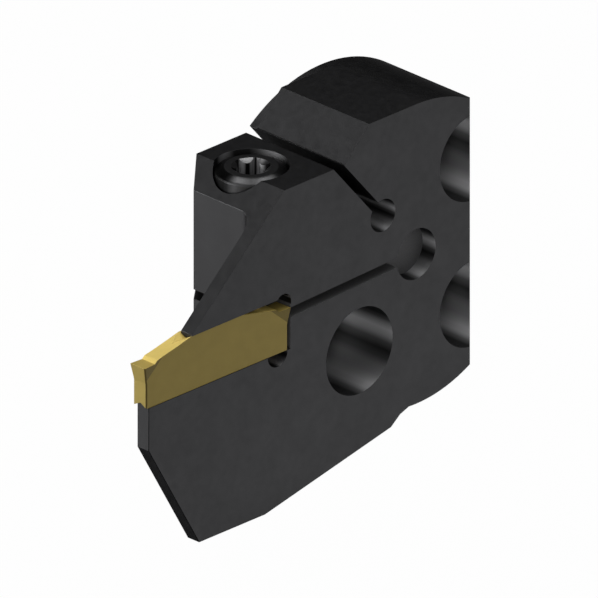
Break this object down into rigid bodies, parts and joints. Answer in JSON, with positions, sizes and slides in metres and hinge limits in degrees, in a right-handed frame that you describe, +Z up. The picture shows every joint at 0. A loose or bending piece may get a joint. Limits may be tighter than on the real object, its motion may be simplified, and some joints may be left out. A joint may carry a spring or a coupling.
{
  "type": "grooving cutter head",
  "caption": "Exchangeable turning head with a thin blade, a clamped two-edged grooving insert and a round bolted coupling.",
  "frame": {"origin": "centre of the round coupling, in the plane of the coupling face", "axes": "+Y out of the coupling face towards the bar that carries the head, -X to the cutting edge, +Z up on the chip side"},
  "size_m": [0.0533, 0.0131, 0.037],
  "materials": {
    "body_steel": "dark blackened steel, satin",
    "insert_coating": "thin gold coloured coating on ground carbide, satin",
    "screw_steel": "turned steel, half bright"
  },
  "bodies": {
    "root": {"head_body": "body_steel", "cutting_insert": "insert_coating", "clamp_screw": "screw_steel"}
  },
  "joints": []
}
